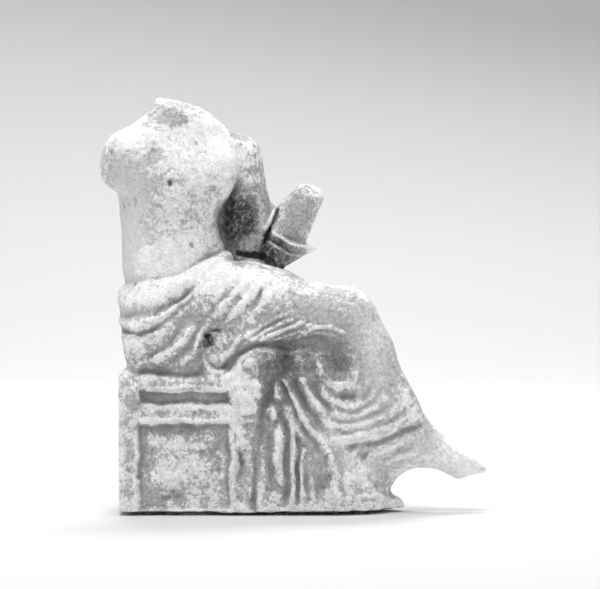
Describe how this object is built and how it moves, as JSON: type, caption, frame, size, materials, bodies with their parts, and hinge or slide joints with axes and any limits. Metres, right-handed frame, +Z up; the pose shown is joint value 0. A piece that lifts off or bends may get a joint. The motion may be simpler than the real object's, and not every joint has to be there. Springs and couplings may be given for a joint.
{
  "type": "seated draped figurine",
  "caption": "Headless seated woman in fired clay, half draped, legs crossed, one forearm stump raised, on a square panelled block seat; stands on its flat underside.",
  "frame": {"origin": "middle of the bounding box's bottom face, which is the flat underside that the piece stands on", "axes": "+X is the way the figure faces, towards the raised foot; -Y is the finished side; +Z is up"},
  "size_m": [0.1562, 0.0542, 0.1672],
  "materials": {
    "fired_clay": "matt bisque clay, grey, with worn patches of near-white slip and dark soil left in the hollows"
  },
  "bodies": {
    "root": {"figurine": "fired_clay"}
  },
  "joints": []
}
